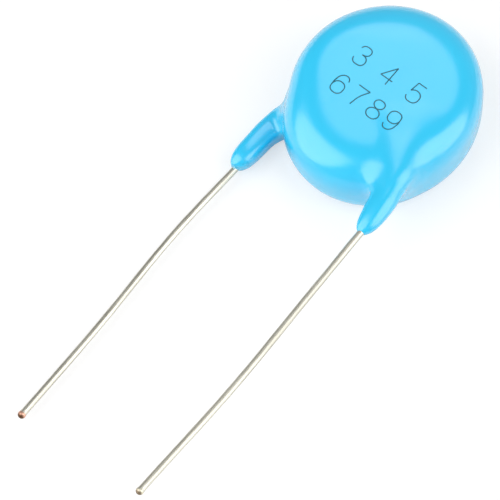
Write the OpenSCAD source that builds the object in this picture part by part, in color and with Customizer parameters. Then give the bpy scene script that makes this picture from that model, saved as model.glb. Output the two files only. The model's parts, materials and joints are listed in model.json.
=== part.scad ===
// Ceramic disc capacitor with two radial leads, for high voltage.
// A ceramic disc carries a silver electrode on each face, a tinned wire is soldered to each
// electrode, and one dipped epoxy coat seals the disc and runs a little way down both wires.
//
// The origin is the middle of the disc on the flat back face, which lies on the surface.
// +Z points up through the disc to its front face, and the leads run towards -Y.

/* [Coated body] */
// Width of the body, across the leads
body_w = 15.4; // [14.6:0.1:19]
// Length of the body, along the leads
body_l = 17; // [16:0.1:21]
// Thickness of the body between its flat faces
body_t = 7; // [6.7:0.1:10]
// Radius of the rounded edge all round the body
edge_r = 2.4; // [1.8:0.1:3]
// How far the coat has sagged towards the leads before it set
sag = 0.3; // [0:0.1:0.6]

/* [Coated legs] */
// Thickness of the coat round each lead
leg_wall = 0.67; // [0.4:0.01:0.9]
// How far the legs of coat reach past the end of the body
leg_past = 2.3; // [1.6:0.1:6]
// How far the coat thickens on each side of a lead where its leg grows out of the body
root_flare = 0.9; // [0.2:0.05:1.2]
// Length of that thickening along the lead
root_len = 3.6; // [1.5:0.1:4.5]
// How far under the leg's surface the root starts
root_seat = 0.12; // [0.08:0.01:0.2]
// Length of the rounded tip of a leg
tip_len = 1.5; // [0.8:0.1:1.8]
// Thickness of coat left at the very tip of a leg
tip_wall = 0.15; // [0.08:0.01:0.3]

/* [Ceramic disc] */
// Diameter of the ceramic disc
disc_d = 12; // [9:0.1:12.8]
// Thickness of the ceramic disc
disc_t = 4.1; // [2:0.1:4.4]
// Bare rim of the disc outside each electrode
margin = 0.7; // [0.4:0.1:1.5]
// Thickness of the fired silver electrode
silver_t = 0.05; // [0.03:0.01:0.1]

/* [Leads] */
// Diameter of the lead wire
lead_d = 0.6; // [0.5:0.05:0.8]
// Distance between the two leads
pitch = 12.5; // [10:0.5:14]
// Free length of the front lead, from the tip of its leg
front_free = 28.1; // [10:0.1:35]
// Free length of the back lead, from the tip of its leg
back_free = 27.3; // [10:0.1:35]
// Angle by which a lead turns in across the disc
splay = 38; // [30:1:45]
// Radius of that bend, to the middle of the wire
bend_r = 1.6; // [1.4:0.1:2.5]
// Diameter of the small bead at the cut end of a lead
bead_d = 0.66; // [0.62:0.01:0.8]
// Thickness of the solder that has run along a lead under the coat
wick_t = 0.02; // [0.01:0.01:0.04]
// How far inside a leg's tip that solder starts to thin out
wick_in = 0.4; // [0.2:0.1:1]
// How far past a leg's tip it ends
wick_out = 0.6; // [0.5:0.1:1]
// Distance of the lead's inner end from the middle of the disc, across the leads
toe_x = 1.3; // [0.5:0.1:2]

/* [Solder] */
// Width of the solder mound at the electrode
solder_d = 3.4; // [2.6:0.1:4]
// Height of the solder over the top of the wire
solder_over = 0.3; // [0.15:0.05:0.45]
// Film of solder and coat between a lead and its electrode
film = 0.05; // [0.03:0.01:0.1]
// Distance of the mound's middle from the lead's inner end
solder_in = 1.3; // [0.6:0.1:1.8]

/* [Hidden] */
$fn = 64;

// Body outline: two half rounds of the body's width, with a short straight between them
end_r = body_w / 2;
straight = body_l - body_w;
back_y = -sag + straight / 2;
front_y = -sag - straight / 2;
mid_z = body_t / 2;

// Levels above the middle of the disc
silver_z = disc_t / 2;
wet_r = lead_d / 2 + wick_t;
wire_z = silver_z + silver_t + film + wet_r;
silver_d = disc_d - 2 * margin;

// Plan of a lead: straight at half the pitch, one bend, then in across the disc
leg_x = pitch / 2;
leg_r = lead_d / 2 + leg_wall;
tip_y = front_y - end_r - leg_past;
corner_y = -(leg_x - toe_x) / tan(splay);
setback = bend_r * tan(splay / 2);
bend_y = corner_y - setback;
toe_len = (leg_x - toe_x) / sin(splay) - setback;

// Spherical cap of solder: its height, and the radius of its sphere
cap_h = film + 2 * wet_r + solder_over;
cap_r = (pow(solder_d / 2, 2) + cap_h * cap_h) / (2 * cap_h);

// Turns the front half of the part over into the back half, about the middle of the disc
module back_side() {
    translate([0, 0, mid_z]) rotate([0, 180, 0]) translate([0, 0, -mid_z]) children();
}

// Half of the body's section: a flat-faced slice with a rounded rim
module half_section() {
    square([end_r - edge_r, body_t]);
    translate([0, edge_r]) square([end_r, body_t - 2 * edge_r]);
    translate([end_r - edge_r, edge_r]) circle(r = edge_r);
    translate([end_r - edge_r, body_t - edge_r]) circle(r = edge_r);
}

// Body without its legs
module body_outside() {
    translate([0, back_y, 0]) rotate_extrude(angle = 180) half_section();
    translate([0, front_y, 0]) rotate_extrude(angle = 180, start = 180) half_section();
    translate([0, back_y, 0]) rotate([90, 0, 0]) linear_extrude(straight) {
        half_section();
        mirror([1, 0]) half_section();
    }
}

// Places its children where a lead leaves its bend, with their Z along the wire to its inner end
module at_bend() {
    translate([leg_x - bend_r, bend_y, mid_z + wire_z]) rotate([0, 0, splay])
        translate([bend_r, 0, 0]) rotate([-90, 0, 0]) children();
}

// Places its children on the straight of a lead at y, with their Z along the wire to its cut end
module at_straight(y) {
    translate([leg_x, y, mid_z + wire_z]) rotate([90, 0, 0]) children();
}

// Round rod of radius r that follows a lead from y_end to its inner end
module along_lead(r, y_end) {
    at_straight(bend_y) cylinder(r = r, h = bend_y - y_end);
    translate([leg_x - bend_r, bend_y, mid_z + wire_z]) rotate_extrude(angle = splay)
        translate([bend_r, 0]) circle(r = r);
    at_bend() cylinder(r = r, h = toe_len);
}

// Half of the section of a leg's rounded tip, from its full radius down to the tip wall
module tip_section() {
    drop = leg_r - lead_d / 2 - tip_wall;
    round_r = (tip_len * tip_len + drop * drop) / (2 * drop);
    intersection() {
        square([leg_r, tip_len]);
        translate([leg_r - round_r, 0]) circle(r = round_r, $fn = 4 * $fn);
    }
}

// One leg of coat: it grows out of the body, level with its face, follows the wire and ends
// in a rounded tip
module leg_outside() {
    along_lead(leg_r, tip_y + tip_len);
    at_straight(tip_y + tip_len) rotate_extrude() tip_section();
    intersection() {
        at_bend() cylinder(r1 = leg_r - root_seat, r2 = leg_r + root_flare, h = root_len);
        translate([-body_w, -body_l, 0]) cube([2 * body_w, 2 * body_l, body_t]);
    }
}

module disc_body() {
    translate([0, 0, mid_z - disc_t / 2]) cylinder(d = disc_d, h = disc_t);
}

module silver_layer() {
    translate([0, 0, mid_z + silver_z]) cylinder(d = silver_d, h = silver_t);
}

// A lead, whose free length runs from its leg's tip to the end of its bead
module wire(free) {
    bead_y = tip_y - free + bead_d / 2;
    along_lead(wet_r, tip_y + wick_in);
    at_straight(tip_y + wick_in) cylinder(r1 = wet_r, r2 = lead_d / 2, h = wick_in + wick_out);
    at_straight(tip_y - wick_out) cylinder(d = lead_d, h = tip_y - wick_out - bead_y);
    at_straight(bead_y) sphere(d = bead_d);
}

// Cap of solder on the electrode, before the wire is taken out of it
module solder_cap() {
    at_bend() translate([0, 0, toe_len - solder_in]) rotate([90, 0, 0])
        translate([0, 0, -wet_r - film]) intersection() {
            translate([0, 0, cap_h - cap_r]) sphere(r = cap_r);
            cylinder(d = solder_d + 1, h = cap_h + 1);
        }
}

// The dipped epoxy coat: body and both legs in one, hollow where the inner pieces lie
module coating() {
    color("deepskyblue") difference() {
        union() {
            body_outside();
            leg_outside();
            back_side() leg_outside();
        }
        disc_body();
        silver_layer();
        back_side() silver_layer();
        wire(front_free);
        back_side() wire(back_free);
        solder_cap();
        back_side() solder_cap();
    }
}

module ceramic_disc() {
    color("linen") disc_body();
}

module front_electrode() {
    color("gainsboro") silver_layer();
}

module back_electrode() {
    color("gainsboro") back_side() silver_layer();
}

module front_lead() {
    color("lightgray") wire(front_free);
}

module back_lead() {
    color("lightgray") back_side() wire(back_free);
}

module front_solder() {
    color("darkgray") difference() {
        solder_cap();
        wire(front_free);
    }
}

module back_solder() {
    color("darkgray") back_side() difference() {
        solder_cap();
        wire(back_free);
    }
}

coating();
ceramic_disc();
front_electrode();
back_electrode();
front_lead();
back_lead();
front_solder();
back_solder();
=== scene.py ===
import json
from math import acos, cos, pi, radians, sin, tan

import bmesh
import bpy
import numpy as np
from mathutils import Matrix, Vector
from mathutils.bvhtree import BVHTree


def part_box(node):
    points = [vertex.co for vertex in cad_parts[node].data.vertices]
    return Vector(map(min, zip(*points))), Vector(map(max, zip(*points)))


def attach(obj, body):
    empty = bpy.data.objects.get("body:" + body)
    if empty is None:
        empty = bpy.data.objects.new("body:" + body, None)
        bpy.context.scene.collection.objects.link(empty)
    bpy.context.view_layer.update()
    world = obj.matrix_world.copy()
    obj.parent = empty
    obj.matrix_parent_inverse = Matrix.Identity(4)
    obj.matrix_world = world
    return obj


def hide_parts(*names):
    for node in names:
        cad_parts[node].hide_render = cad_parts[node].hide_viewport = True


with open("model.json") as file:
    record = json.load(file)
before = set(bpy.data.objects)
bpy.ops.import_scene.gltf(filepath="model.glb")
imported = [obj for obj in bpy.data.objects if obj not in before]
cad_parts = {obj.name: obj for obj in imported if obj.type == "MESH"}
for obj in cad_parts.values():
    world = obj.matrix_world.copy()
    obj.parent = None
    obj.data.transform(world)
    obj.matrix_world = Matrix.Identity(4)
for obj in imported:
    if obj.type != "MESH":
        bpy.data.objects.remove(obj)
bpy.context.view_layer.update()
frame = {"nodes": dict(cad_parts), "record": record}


# ---------------------------------------------------------------- ceramic disc
# The pressed and fired disc of barium titanate that the part is named for. It lies sealed in
# the middle of the coat, bare only round its rim, and its face is matt with fine dark pores.

class Value:
    """One output of a node, so that shader maths is written as plain sums."""

    def __init__(self, finish, socket):
        self.finish, self.socket = finish, socket

    def sum(self, operation, first, second):
        return self.finish.sum(operation, first, second)

    def __add__(self, other):
        return self.sum("ADD", self, other)

    def __sub__(self, other):
        return self.sum("SUBTRACT", self, other)

    def __rsub__(self, other):
        return self.sum("SUBTRACT", other, self)

    def __mul__(self, other):
        return self.sum("MULTIPLY", self, other)

    __radd__, __rmul__ = __add__, __mul__


class Finish:
    """The nodes of a material, a lamp or the world."""

    def __init__(self, owner):
        owner.use_nodes = True
        owner.node_tree.nodes.clear()
        self.owner, self.tree = owner, owner.node_tree

    def node(self, kind, settings=None, sockets=None, output=0):
        made = self.tree.nodes.new("ShaderNode" + kind)
        for name, value in (settings or {}).items():
            setattr(made, name, value)
        for name, value in (sockets or {}).items():
            if isinstance(value, Value):
                self.tree.links.new(value.socket, made.inputs[name])
            else:
                made.inputs[name].default_value = value
        return Value(self, made.outputs[output]) if made.outputs else None

    def sum(self, operation, first, second):
        return self.node("Math", {"operation": operation}, {0: first, 1: second})

    def noise(self, size, stretch=(1, 1, 1), detail=3, shift=0):
        """Soft patches from 0 to 1, about size millimetres across, longer where stretch is low."""
        place = self.node("TexCoord", output="Object")
        scale = [1000 / size * s for s in stretch]
        place = self.node("Mapping", {}, {"Vector": place, "Scale": scale, "Location": [shift] * 3})
        return self.node("TexNoise", {}, {"Vector": place, "Scale": 1, "Detail": detail})

    def step(self, value, low, high, into=(0, 1)):
        """Value taken smoothly from the range low to high into another range."""
        return self.node("MapRange", {"interpolation_type": "SMOOTHSTEP"},
                         {"Value": value, "From Min": low, "From Max": high,
                          "To Min": into[0], "To Max": into[1]})

    def blend(self, mask, first, second):
        """First colour where mask is 0, second where it is 1."""
        colours = [c if isinstance(c, Value) else (*c, 1) for c in (first, second)]
        return self.node("Mix", {"data_type": "RGBA"}, {0: mask, 6: colours[0], 7: colours[1]},
                         output=2)

    def surface(self, relief=None, height=0, **sockets):
        """Ends the material. Relief is a height pattern, and height its depth in millimetres."""
        sockets = {name.replace("_", " "): value for name, value in sockets.items()}
        if relief is not None:
            sockets["Normal"] = self.node("Bump", {}, {"Height": relief, "Distance": height / 1000})
        shader = self.node("BsdfPrincipled", {}, sockets)
        self.node("OutputMaterial", {}, {"Surface": shader})
        return self.owner


def give(node, material):
    """Puts a material on a node that keeps its own shape."""
    for place in frame["nodes"][node].material_slots:
        place.material = material


fired = Finish(bpy.data.materials.new("fired_ceramic"))
pores = fired.step(fired.noise(0.12, detail=5), 0.62, 0.72)
tone = fired.blend(fired.noise(2.5), (0.56, 0.47, 0.34), (0.66, 0.58, 0.45))
give("ceramic_disc", fired.surface(
    Base_Color=fired.blend(pores, tone, (0.22, 0.17, 0.11)),
    Roughness=0.62 + 0.2 * fired.noise(0.3),
    relief=1 - pores, height=0.01))


# ---------------------------------------------------------------- fired electrodes
# A round layer of silver paste is screened on each face of the disc, short of its rim, and
# fired on. It is matt and pale, with the faint weave of the screen and a few duller patches.

silver = Finish(bpy.data.materials.new("fired_silver_paste"))
weave = silver.noise(0.09, (1, 0.25, 1)) * silver.noise(0.09, (0.25, 1, 1), shift=7)
dull = silver.step(silver.noise(1.6), 0.45, 0.7)
for node in ("front_electrode", "back_electrode"):
    give(node, silver.owner)
silver.surface(
    Base_Color=silver.blend(dull, (0.82, 0.81, 0.78), (0.62, 0.60, 0.56)),
    Metallic=0.9, Roughness=0.38 + 0.2 * dull + 0.1 * weave,
    relief=weave, height=0.006)


# ---------------------------------------------------------------- solder
# One mound of soft solder holds each lead to its electrode. It froze smooth and bright, with
# the faint frosty grain that solder shows, and a thin brown ring of flux.

mound = Finish(bpy.data.materials.new("frozen_solder"))
frost = mound.noise(0.25, detail=4)
flux = mound.step(mound.noise(1.1, shift=3), 0.6, 0.75)
for node in ("front_solder", "back_solder"):
    give(node, mound.owner)
mound.surface(
    Base_Color=mound.blend(flux, mound.blend(frost, (0.66, 0.67, 0.69), (0.5, 0.51, 0.53)),
                           (0.30, 0.21, 0.12)),
    Metallic=1 - 0.7 * flux, Roughness=0.2 + 0.25 * frost,
    relief=frost, height=0.01)


# ---------------------------------------------------------------- leads
# Two tinned copper wires. Each comes straight out of its leg of coat; under the coat it bends
# inwards across the disc to its solder. The hot tin ran unevenly along the wire and left a
# bead at the cut end, and on the back lead the bead shows the pink of the copper.

mm = 0.001
mounts = {m["name"]: m for m in frame["record"]["mounts"]}
lead_x, _, lead_z = [c / mm for c in mounts["front_lead_pin"]["pos_m"]]
wire_r = mounts["front_lead_pin"]["dims"]["r_mm"]
tip_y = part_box("coating")[0].y / mm
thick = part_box("coating")[1].z / mm
drawn_r, bead_r = wire_r * 0.97, 0.33
splay, bend_r, toe_x = radians(38), 1.6, 1.3
bend_y = -(lead_x - toe_x) / tan(splay) - bend_r * tan(splay / 2)
in_leg = bend_y - tip_y
in_bend = in_leg + bend_r * splay
to_toe = in_bend + (lead_x - toe_x) / sin(splay) - bend_r * tan(splay / 2)


def on_lead(s):
    """Point s millimetres along the front lead, from its leg's tip inwards, and its heading."""
    turn = min(max((s - in_leg) / bend_r, 0), splay)
    heading = Vector((-sin(turn), cos(turn), 0))
    start = Vector((lead_x - bend_r * (1 - cos(turn)), bend_y + bend_r * sin(turn), lead_z))
    return start + heading * (min(s - in_leg, 0) + max(s - in_bend, 0)), heading


def rod(bm, rings, sides):
    """Closed rod along the front lead. Each ring has its place s, radius and drift sideways."""
    loop = bmesh.ops.create_circle(bm, cap_ends=True, radius=1, segments=sides)["verts"]
    edges = list({e for v in loop for e in v.link_edges})
    for n, (s, radius, drift) in enumerate(rings):
        if n:
            grown = bmesh.ops.extrude_edge_only(bm, edges=edges)["geom"]
            loop = [g for g in grown if isinstance(g, bmesh.types.BMVert)]
            edges = [g for g in grown if isinstance(g, bmesh.types.BMEdge)]
        place, heading = on_lead(s)
        turned = heading.to_track_quat("Z", "Y").to_matrix().to_4x4()
        lies = (Matrix.Translation(place + Vector((drift, 0, 0))) @ turned
                @ Matrix.Diagonal((radius, radius, 1, 1)))
        if n:
            bmesh.ops.transform(bm, matrix=last.inverted(), verts=loop)
        bmesh.ops.transform(bm, matrix=lies, verts=loop)
        last = lies
    bmesh.ops.contextual_create(bm, geom=edges)


def other_side(bm):
    """Turns a front piece over into its twin at the back."""
    half_turn = Matrix.Translation((0, 0, thick / 2)) @ Matrix.Rotation(pi, 4, "Y")
    bmesh.ops.transform(bm, matrix=half_turn @ Matrix.Translation((0, 0, -thick / 2)),
                        verts=bm.verts)


def piece(name, bm, material, replaces=()):
    """Finished piece, brought from millimetres to metres, that rides on the part."""
    bmesh.ops.scale(bm, vec=(mm, mm, mm), verts=bm.verts)
    bmesh.ops.recalc_face_normals(bm, faces=bm.faces)
    mesh = bpy.data.meshes.new(name)
    bm.to_mesh(mesh)
    bm.free()
    mesh.materials.append(material)
    mesh.shade_smooth()
    made = bpy.data.objects.new(name, mesh)
    bpy.context.scene.collection.objects.link(made)
    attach(made, "root")
    if replaces:
        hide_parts(*replaces)
    return made


def tinned(name, gloss, end_y, cut_long, cut_colour, burnt_colour):
    """Tinned wire: drawn lines, dull patches and streaks, and its hot-cut end in two colours."""
    tin = Finish(bpy.data.materials.new(name))
    lines = tin.noise(0.08, (1, 0.02, 1), detail=4)
    cloud = tin.noise(0.9, (1, 0.35, 1))
    streak = tin.step(tin.noise(0.3, (1, 0.03, 1), shift=4), 0.5, 0.62)
    tone = tin.blend(cloud, (0.64, 0.62, 0.53), (0.80, 0.78, 0.68))
    tone = tin.blend(0.4 * streak, tone, (0.38, 0.36, 0.29))
    y = tin.node("SeparateXYZ", {}, {"Vector": tin.node("TexCoord", output="Object")}, output=1)
    uneven = (tin.noise(0.2) - 0.5) * (0.12 * mm)
    cut = tin.step(y + uneven, (end_y + cut_long) * mm, (end_y + cut_long + 0.12) * mm, (1, 0))
    burnt = tin.step(y, (end_y + 0.1) * mm, (end_y + 0.3) * mm, (1, 0))
    return tin.surface(
        Base_Color=tin.blend(cut, tone, tin.blend(burnt, cut_colour, burnt_colour)), Metallic=1.0,
        Roughness=gloss + 0.12 * lines + 0.1 * cloud, relief=lines, height=0.012)


# For each lead: how rough it is, how much longer it is than its solid, how long its cut end is
# and in which colours, and its bows sideways: how far, how far out past the leg, over what length.
leads = {
    "front": (0.33, 0, 0.3, (0.85, 0.80, 0.62), (0.30, 0.23, 0.16),
              ((0.31, 16.5, 9), (-0.06, 0.5, 2.5))),
    "back": (0.24, 0.15, 0.4, (0.80, 0.46, 0.34), (0.14, 0.07, 0.035),
             ((0.39, 7.5, 7.5),))}
chance = np.random.default_rng(7)
for side, (gloss, longer, cut_long, cut_colour, burnt_colour, bows) in leads.items():
    end_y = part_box(side + "_lead")[0].y / mm - longer
    bead_s = end_y + bead_r - tip_y
    wave = chance.uniform(0, 6, 2)
    rings = [(bead_s - bead_r * cos(a), max(bead_r * sin(a), 0.01))
             for a in np.linspace(0, acos(-0.42 * wire_r / bead_r), 12)]
    neck = rings[-1][0]
    for s in np.arange(neck + 0.25, to_toe, 0.25):
        free = min(1, (s - neck) / 2) if s < -1 else max(0, -s)
        swell = 0.004 * sin(1.3 * s + wave[0]) + 0.003 * sin(3.1 * s + wave[1])
        rings.append((s, drawn_r + swell * free))
    bm = bmesh.new()
    rod(bm, [(s, radius, sum(far * np.exp(-((s + at) / length) ** 2) for far, at, length in bows))
             for s, radius in rings], 32)
    if side == "back":
        other_side(bm)
    tin = tinned(side + "_tin", gloss, end_y, cut_long, cut_colour, burnt_colour)
    wire = piece(side + "_tinned_lead", bm, tin, [side + "_lead"])


# ---------------------------------------------------------------- dipped coat
# One skin of epoxy, built up by dipping the soldered disc with its leads: a flat round body,
# fuller at the leads' side where the wet coat sagged, a ridge where each lead runs under it,
# and a leg round each lead that thins out to a rounded tip. It set smooth and glossy.

# The body: how far it reaches sideways, away from the leads and towards them, how far its faces
# are from its middle, and the radius of a face's flat, with waves round it. The rim is rounded
# over edge_h with the power edge_p, which leans to one side above and to another below. A
# shallow dent, dent_in of the reach, lies beside the back leg. The values from half_down to
# edge_lean are the result of a fitting program that isn't part of this file, and the dent's that
# of a second one. Those of under_lean were worked out.
half_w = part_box("coating")[1].x / mm - 0.03
half_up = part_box("coating")[1].y / mm - 0.03
half_down = 9.20
face = 3.36
flat_r, edge_h, edge_p = 4.67, 3.34, 2.92
flat_waves = ((0.033, -0.479), (0.279, 0.608), (-0.327, 0.228), (0.139, -0.048))
edge_lean, under_lean = (0.20, 0.14), (-0.6, 0.72)
dent_in, dent_turn, dent_wide = 0.032, -2.5, 0.28

# The coat over each lead bends more gently than the wire in it.
coat_bend = 4.5
coat_bend_y = -(lead_x - toe_x) / tan(splay) - coat_bend * tan(splay / 2)
coat_in_leg = coat_bend_y - tip_y
coat_toe = (coat_in_leg + coat_bend * splay + (lead_x - toe_x) / sin(splay)
            - coat_bend * tan(splay / 2))

# How the coat lies over each lead, at places along it from its leg's tip inwards: its half width
# on the inner and the outer side, its half height, how far its crest has moved out, how deep it
# has sunk, how far it hangs, how square it is, and how wide it runs out on each side. The front
# lead's table is the first program's result, with five values of 72 changed since. In the
# back lead's, outer, outer_run and most of sunk are the two programs' results, and the rest was
# set one by one.
places = (1, 3, 4.5, 6, 7.5, 9, 11, 13)
front = {"inner": (1.07, 1.21, 1.12, 1.4, 1.48, 1.61, 2.2, 2.3),
         "outer": (1.06, 1.04, 1, 0.96, 1.41, 1.87, 3.87, 3.01),
         "tall": (0.96, 0.95, 1, 0.97, 0.97, 0.97, 0.97, 0.97),
         "crest": (-0.11, -0.26, -0.39, 0.3, 0.08, 0.09, 0.29, 0.1),
         "sunk": (0.06, -0.02, 0.02, 0.02, 0.12, 0.25, 0.31, 0.7),
         "hangs": (0.01, -0.03, 0.01, 0.02, 0, 0, 0, 0),
         "square": (2.55, 2.13, 1.99, 2, 1.88, 3.35, 3.27, 3.02),
         "inner_run": (0.85, 1.41, 1.84, 1.77, 0.99, 0.49, 0.63, 0.27),
         "outer_run": (0.8, 0.88, 0.95, 1.21, 1.13, 0.53, 0.66, 0.49)}
back = {"inner": (1.2, 1.14, 1.1, 1.1, 1.5, 1.6, 2.2, 2.3),
        "outer": (0.91, 0.79, 1.07, 1.9, 1.32, 0.8, 0.8, 0.8),
        "tall": (0.97, 0.97, 0.97, 0.97, 0.97, 0.97, 0.97, 0.97),
        "crest": (0.3, 0.3, 0.15, 0, 0, 0, 0, 0),
        "sunk": (0, 0, 0.02, 0.04, 0.12, 0.25, 0.31, 0.7),
        "hangs": (0.28, 0.14, 0.02, 0, 0, 0, 0, 0),
        "square": (2.8, 3.4, 3.4, 2.8, 2.4, 3.3, 3.3, 3),
        "inner_run": (0.8, 0.8, 1, 1.1, 1, 0.5, 0.6, 0.3),
        "outer_run": (0.8, 0.88, 1.05, 1.13, 0.71, 0.61, 0.66, 0.49)}
fine = np.linspace(-5, coat_toe + 6, 1200)
bell = np.exp(-0.5 * (np.arange(-2.4, 2.4, fine[1] - fine[0]) / 0.6) ** 2)
bell /= bell.sum()
front, back = ({name: np.convolve(np.interp(fine, places, values), bell, "same")
                for name, values in lead.items()} for lead in (front, back))

# How soon a leg's tip has its full width and height, where the web under its root starts, the
# share of the web that its outer side has, and how much wider the leg runs out low down. The
# 0.84, 1.93 and 0.34 are the programs' results too.
front_leg = {"soon": (0.84, 1.93), "web_from": 4.1, "web_out": 1, "spread": 0.25}
back_leg = {"soon": (0.84, 0.8), "web_from": 4.4, "web_out": 0.34, "spread": 0.6}
tip_past, web_deep = (0.2, 0.35), 1.7


def ease(x):
    return np.clip(x, 0, 1) ** 2 * (3 - 2 * np.clip(x, 0, 1))


def run_in(first, second, run):
    """Two levels run into each other over a fillet."""
    near = np.clip(1 - np.abs(first - second) / run, 0, None)
    return np.minimum(first, second) - near ** 2 * run / 4


def body_level(p):
    """Rough distance in millimetres outside the body, below 0 inside it."""
    mid, bias = (half_up + half_down) / 2, (half_down - half_up) / 2
    x, y, z = p[:, 0], p[:, 1], p[:, 2] - thick / 2
    from_mid = np.hypot(x, y)
    egg = np.hypot(x, y * half_w / (mid - bias * np.tanh(y / 3)))
    dent = dent_in * np.exp(-((np.arctan2(y, x) - dent_turn) / dent_wide) ** 2)
    reach = from_mid * half_w / np.maximum(egg, 1e-6) * (1 - dent)
    flat, power = 0, 0
    for turn, half, lean in ((np.arctan2(y, x), ease(z / 1.6 + 0.5), edge_lean),
                             (np.arctan2(y, -x), ease(0.5 - z / 1.6), under_lean)):
        waves = sum(a * np.cos(k * turn) + b * np.sin(k * turn)
                    for k, (a, b) in enumerate(flat_waves, 1))
        flat += half * (flat_r + waves)
        power += half * (edge_p + lean[0] * np.cos(turn) + lean[1] * np.sin(turn))
    u = (from_mid - flat) / (reach - flat)
    v = (np.abs(z) - (face - edge_h)) / edge_h
    corner = (np.clip(u, 0, None) ** power + np.clip(v, 0, None) ** power) ** (1 / power)
    return (corner + np.minimum(np.maximum(u, v), 0) - 1) * edge_h


def leg_level(p, ridge, soon, web_from, web_out, spread):
    """Rough distance outside the coat over a lead, as if in front, and how wide it runs out."""
    x, y = p[:, 0] - lead_x + coat_bend, p[:, 1] - coat_bend_y
    turn = np.clip(np.arctan2(y, x), 0, splay)
    along = coat_in_leg + coat_bend * turn + y * np.cos(turn) - x * np.sin(turn)
    lies = {name: np.interp(along, fine, values) for name, values in ridge.items()}
    out = x * np.cos(turn) + y * np.sin(turn) - coat_bend - lies["crest"]
    above = p[:, 2] - lead_z + lies["hangs"]
    outer, far_out = ease(out + 0.5), ease(out / 2.6 + 0.5)
    round_w, round_h = (np.sqrt(np.clip(1 - np.exp(-(along + past) / by), 1e-4, 1))
                        for past, by in zip(tip_past, soon))
    wide = (lies["inner"] * (1 - outer) + lies["outer"] * outer) * round_w
    high = lies["tall"] * round_h
    web = 1 + web_deep * ease((along - web_from) / 2) * (1 - far_out * (1 - web_out))
    flat = np.hypot(out / wide, np.clip(along - coat_toe, 0, None)) + 1e-9
    upright = np.where(above > 0, above, -above / web) / high
    round_leg = (flat ** lies["square"] + upright ** lies["square"]) ** (1 / lies["square"])
    web_ends = (1 - web_out) * ease((-above - 1.6) / 3)
    run = lies["inner_run"] * (1 - outer) + lies["outer_run"] * outer
    run *= 1 + spread * ease((lead_z - 0.3 - p[:, 2]) / 2.5)
    return (round_leg - 1) * high + lies["sunk"] + web_ends, run


def coat_level(p):
    """Body and legs together, run into each other as the wet coat did, between the flat faces."""
    other_way_up = np.stack([-p[:, 0], p[:, 1], thick - p[:, 2]], 1)
    level = body_level(p)
    level = run_in(level, *leg_level(p, front, **front_leg))
    level = run_in(level, *leg_level(other_way_up, back, **back_leg))
    return -run_in(-level, thick / 2 - np.abs(p[:, 2] - thick / 2), 0.12)


# A spun body and two rods stand for the coat first. They are made one skin, twice, and each time
# the skin is smoothed and its points are moved along the slope of the level to where it is 0.
# Tick is the length over which the slope is taken, and stride the most a point moves in a lap.
bm = bmesh.new()
profile = [Vector((flat_r + (half_w - flat_r) * cos(a) ** (2 / edge_p), 0,
                   thick / 2 + (face - edge_h) + edge_h * sin(a) ** (2 / edge_p)))
           for a in np.linspace(0, pi / 2, 12)]
profile = [Vector((half_w, 0, thick / 2)), *profile, Vector((0, 0, thick / 2 + face))]
chain = [bm.verts.new(v) for v in profile]
edges = [bm.edges.new(pair) for pair in zip(chain, chain[1:])]
bmesh.ops.mirror(bm, geom=chain + edges, axis="Z", merge_dist=0.001,
                 matrix=Matrix.Translation((0, 0, -thick / 2)))
bmesh.ops.spin(bm, geom=bm.verts[:] + bm.edges[:], cent=(0, 0, 0), axis=(0, 0, 1), angle=2 * pi,
               steps=96, use_merge=True)
for v in bm.verts:
    v.co.y *= (half_up if v.co.y > 0 else half_down) / half_w
leg_rings = [(s, 0.97 * (1 - np.exp(-(s + 0.25) / 0.8)) ** 0.5, 0)
             for s in np.arange(-0.2, to_toe, 0.2)]
for side in ("front", "back"):
    leg = bmesh.new()
    rod(leg, leg_rings, 24)
    if side == "back":
        other_side(leg)
    leg_mesh = bpy.data.meshes.new("leg")
    leg.to_mesh(leg_mesh)
    bm.from_mesh(leg_mesh)
    leg.free()
bmesh.ops.remove_doubles(bm, verts=bm.verts, dist=1e-4)
bmesh.ops.recalc_face_normals(bm, faces=bm.faces)
laps, smooth_laps, tick, stride = 8, 6, 0.01, 0.15
for voxel in (0.2, 0.13):
    rough = bpy.data.meshes.new("rough_coat")
    bm.to_mesh(rough)
    bm.free()
    rough_coat = bpy.data.objects.new("rough_coat", rough)
    bpy.context.scene.collection.objects.link(rough_coat)
    remesh = rough_coat.modifiers.new("one_skin", "REMESH")
    remesh.mode, remesh.voxel_size = "VOXEL", voxel
    skin = rough_coat.evaluated_get(bpy.context.evaluated_depsgraph_get())
    bm = bmesh.new()
    bm.from_mesh(bpy.data.meshes.new_from_object(skin))
    bpy.data.objects.remove(rough_coat)
    for lap in range(laps):
        for _ in range(3 if lap < smooth_laps else 0):
            bmesh.ops.smooth_vert(bm, verts=bm.verts, factor=0.5,
                                  use_axis_x=True, use_axis_y=True, use_axis_z=True)
        points = np.array([v.co for v in bm.verts])
        level = coat_level(points)
        slope = np.stack([coat_level(points + step) - level for step in np.eye(3) * tick], 1) / tick
        move = slope * (level / np.clip((slope ** 2).sum(1), 0.3, None))[:, None]
        far = np.maximum(np.linalg.norm(move, axis=1), 1e-9)[:, None]
        points -= move * np.clip(stride / far, None, 1)
        points[:, 2] = np.clip(points[:, 2], 0, thick)
        for v, at in zip(bm.verts, points):
            v.co = at

epoxy = Finish(bpy.data.materials.new("blue_epoxy"))
depth = epoxy.noise(4, detail=2)
ripple = epoxy.noise(1.6, detail=2)
coat = piece("epoxy_coat", bm, epoxy.surface(
    Base_Color=epoxy.blend(depth, (0.018, 0.595, 0.96), (0.022, 0.63, 0.98)),
    Roughness=0.2 + 0.05 * epoxy.noise(0.8), Specular_IOR_Level=0.6,
    Coat_Weight=1.0, Coat_Roughness=0.2, Coat_IOR=1.55,
    relief=ripple, height=0.004), ["coating"])


# ---------------------------------------------------------------- marking
# Two rows of plain numbers, drawn on the front face in one fine line of dark ink, as a marking
# machine does. The ink is matt, and stands a few thousandths of a millimetre above the coat.

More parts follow.
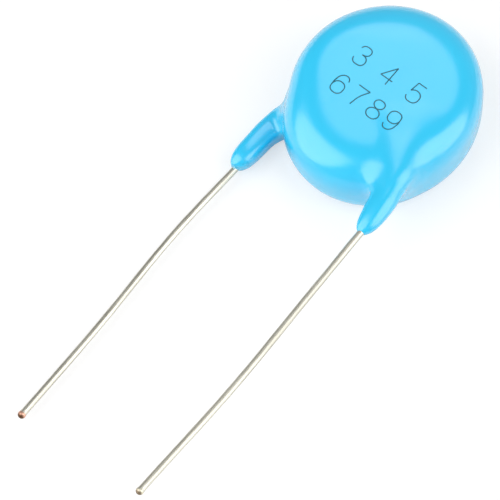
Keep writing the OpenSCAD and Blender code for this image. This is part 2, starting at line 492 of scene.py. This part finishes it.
strokes = {
    "3": [[(.03, .8), (.12, .95), (.31, 1), (.51, .94), (.57, .77), (.48, .6), (.27, .54)],
          [(.27, .54), (.51, .49), (.62, .28), (.54, .07), (.31, 0), (.09, .06), (0, .24)]],
    "4": [[(.46, 0), (.46, 1)], [(.46, 1), (0, .3)], [(0, .3), (.64, .3)]],
    "5": [[(.57, 1), (.13, 1)], [(.13, 1), (.05, .5)],
          [(.05, .5), (.17, .6), (.33, .64), (.55, .54), (.62, .32), (.54, .08), (.31, 0),
           (.1, .05), (0, .21)]],
    "6": [[(.58, .8), (.5, .95), (.33, 1), (.12, .88), (.02, .6), (.01, .33), (.08, .08), (.31, 0),
           (.54, .09), (.61, .31), (.54, .54), (.32, .62), (.11, .54), (.01, .35)]],
    "7": [[(0, 1), (.62, 1)], [(.62, 1), (.37, .55), (.24, 0)]],
    "8": [[(.31, .54), (.12, .63), (.05, .78), (.12, .94), (.31, 1), (.5, .94), (.57, .78),
           (.5, .63), (.31, .54), (.1, .46), (0, .27), (.09, .07), (.31, 0), (.53, .07),
           (.62, .27), (.52, .46), (.31, .54)]]}
strokes["9"] = [[(.62 - x, 1 - y) for x, y in stroke] for stroke in strokes["6"]]
rows = (("345", -0.13, (-2.95, -0.27, 2.38)), ("6789", -3.2, (-2.83, -1.03, 0.77, 2.4)))
tall, pen, flatten = 1.78, 0.1, 0.24

line = bpy.data.curves.new("pen_line", "CURVE")
line.dimensions, line.resolution_u = "3D", 8
line.bevel_depth, line.bevel_resolution, line.use_fill_caps = pen / 2, 2, True
for word, base_y, middles in rows:
    for digit, middle in zip(word, middles):
        for stroke in strokes[digit]:
            spline = line.splines.new("BEZIER")
            spline.bezier_points.add(len(stroke) - 1)
            for point, (x, y) in zip(spline.bezier_points, stroke):
                point.co = (middle + (x - 0.31) * tall, base_y + y * tall, 0)
                point.handle_left_type = point.handle_right_type = "AUTO"
written = bpy.data.objects.new("pen_line", line)
bpy.context.scene.collection.objects.link(written)
tube = written.evaluated_get(bpy.context.evaluated_depsgraph_get())
bm = bmesh.new()
bm.from_mesh(bpy.data.meshes.new_from_object(tube))
bpy.data.objects.remove(written)
bmesh.ops.remove_doubles(bm, verts=bm.verts, dist=1e-4)
coat_skin = bmesh.new()
coat_skin.from_mesh(coat.data)
tree = BVHTree.FromBMesh(coat_skin)
coat_skin.free()
for v in bm.verts:
    from_above = Vector((v.co.x, v.co.y, 2 * thick)) * mm
    v.co.z = tree.ray_cast(from_above, Vector((0, 0, -1)))[0].z / mm + v.co.z * flatten
ink = Finish(bpy.data.materials.new("marking_ink"))
piece("printed_numbers", bm, ink.surface(
    Base_Color=ink.blend(ink.noise(0.4), (0.012, 0.12, 0.165), (0.018, 0.16, 0.21)),
    Roughness=0.55 + 0.15 * ink.noise(0.15), relief=ink.noise(0.05), height=0.002))


# ---------------------------------------------------------------- floor, lights and camera
# A plain white sheet under the part, a large soft lamp overhead, and a camera above.

bm = bmesh.new()
bmesh.ops.create_grid(bm, x_segments=1, y_segments=1, size=3)
mesh = bpy.data.meshes.new("floor")
bm.to_mesh(mesh)
floor = bpy.data.objects.new("floor", mesh)
bpy.context.scene.collection.objects.link(floor)
paper = Finish(bpy.data.materials.new("white_paper"))
seen, mirrored = paper.node("LightPath"), paper.node("LightPath", output=3)
white = paper.blend(seen, (0.82, 0.82, 0.82), (0.45, 0.45, 0.45))
sheet = paper.node("BsdfDiffuse", {}, {"Color": white})
glow = paper.node("Emission", {}, {"Color": (1, 1, 1, 1), "Strength": seen * 0.6 + mirrored * 0.12})
paper.node("OutputMaterial", {}, {"Surface": paper.node("AddShader", {}, {0: sheet, 1: glow})})
mesh.materials.append(paper.owner)

world = Finish(bpy.data.worlds.new("studio"))
bpy.context.scene.world = world.owner
heading = world.node("TexCoord", output="Generated")
along_y = world.node("SeparateXYZ", {}, {"Vector": heading}, output=1)
light = 0.22 + 0.3 * along_y * along_y
sky = world.node("Background", {}, {"Color": (1, 1, 1, 1), "Strength": light})
world.node("OutputWorld", {}, {"Surface": sky})


def softbox(name, azimuth, elevation, wide, high, radiance):
    """Softbox half a metre away that faces the part. Wide and high are the angles it spans."""
    a, e = radians(azimuth), radians(elevation)
    away = Vector((sin(a) * cos(e), -cos(a) * cos(e), sin(e)))
    lamp = bpy.data.lights.new(name, "AREA")
    lamp.shape, lamp.size, lamp.size_y = "ELLIPSE", tan(radians(wide / 2)), tan(radians(high / 2))
    lamp.energy = radiance * pi * lamp.size * lamp.size_y * pi / 4
    hung = bpy.data.objects.new(name, lamp)
    turned = away.to_track_quat("Z", "Y").to_matrix().to_4x4()
    hung.matrix_world = Matrix.Translation(away * 0.5) @ turned
    bpy.context.scene.collection.objects.link(hung)


# The softboxes' places and sizes, and the side ones' strengths, are the first program's result.
softbox("overhead_softbox", 214.0, 56.0, 8.9, 26.9, 2.15)
softbox("left_softbox", 320.0, 39.7, 54.4, 81.4, 2.04)
softbox("right_softbox", 106.2, 36.6, 41.2, 88.5, 2.22)

lens = bpy.data.cameras.new("camera")
lens.lens, lens.sensor_width, lens.clip_start = 359.7, 36, 0.01
camera = bpy.data.objects.new("camera", lens)
camera.location = (0.09958, -0.14254, 0.36409)
camera.rotation_euler = (radians(24), 0, radians(38.5))
bpy.context.scene.collection.objects.link(camera)
bpy.context.scene.camera = camera
bpy.context.scene.view_settings.view_transform = "Standard"
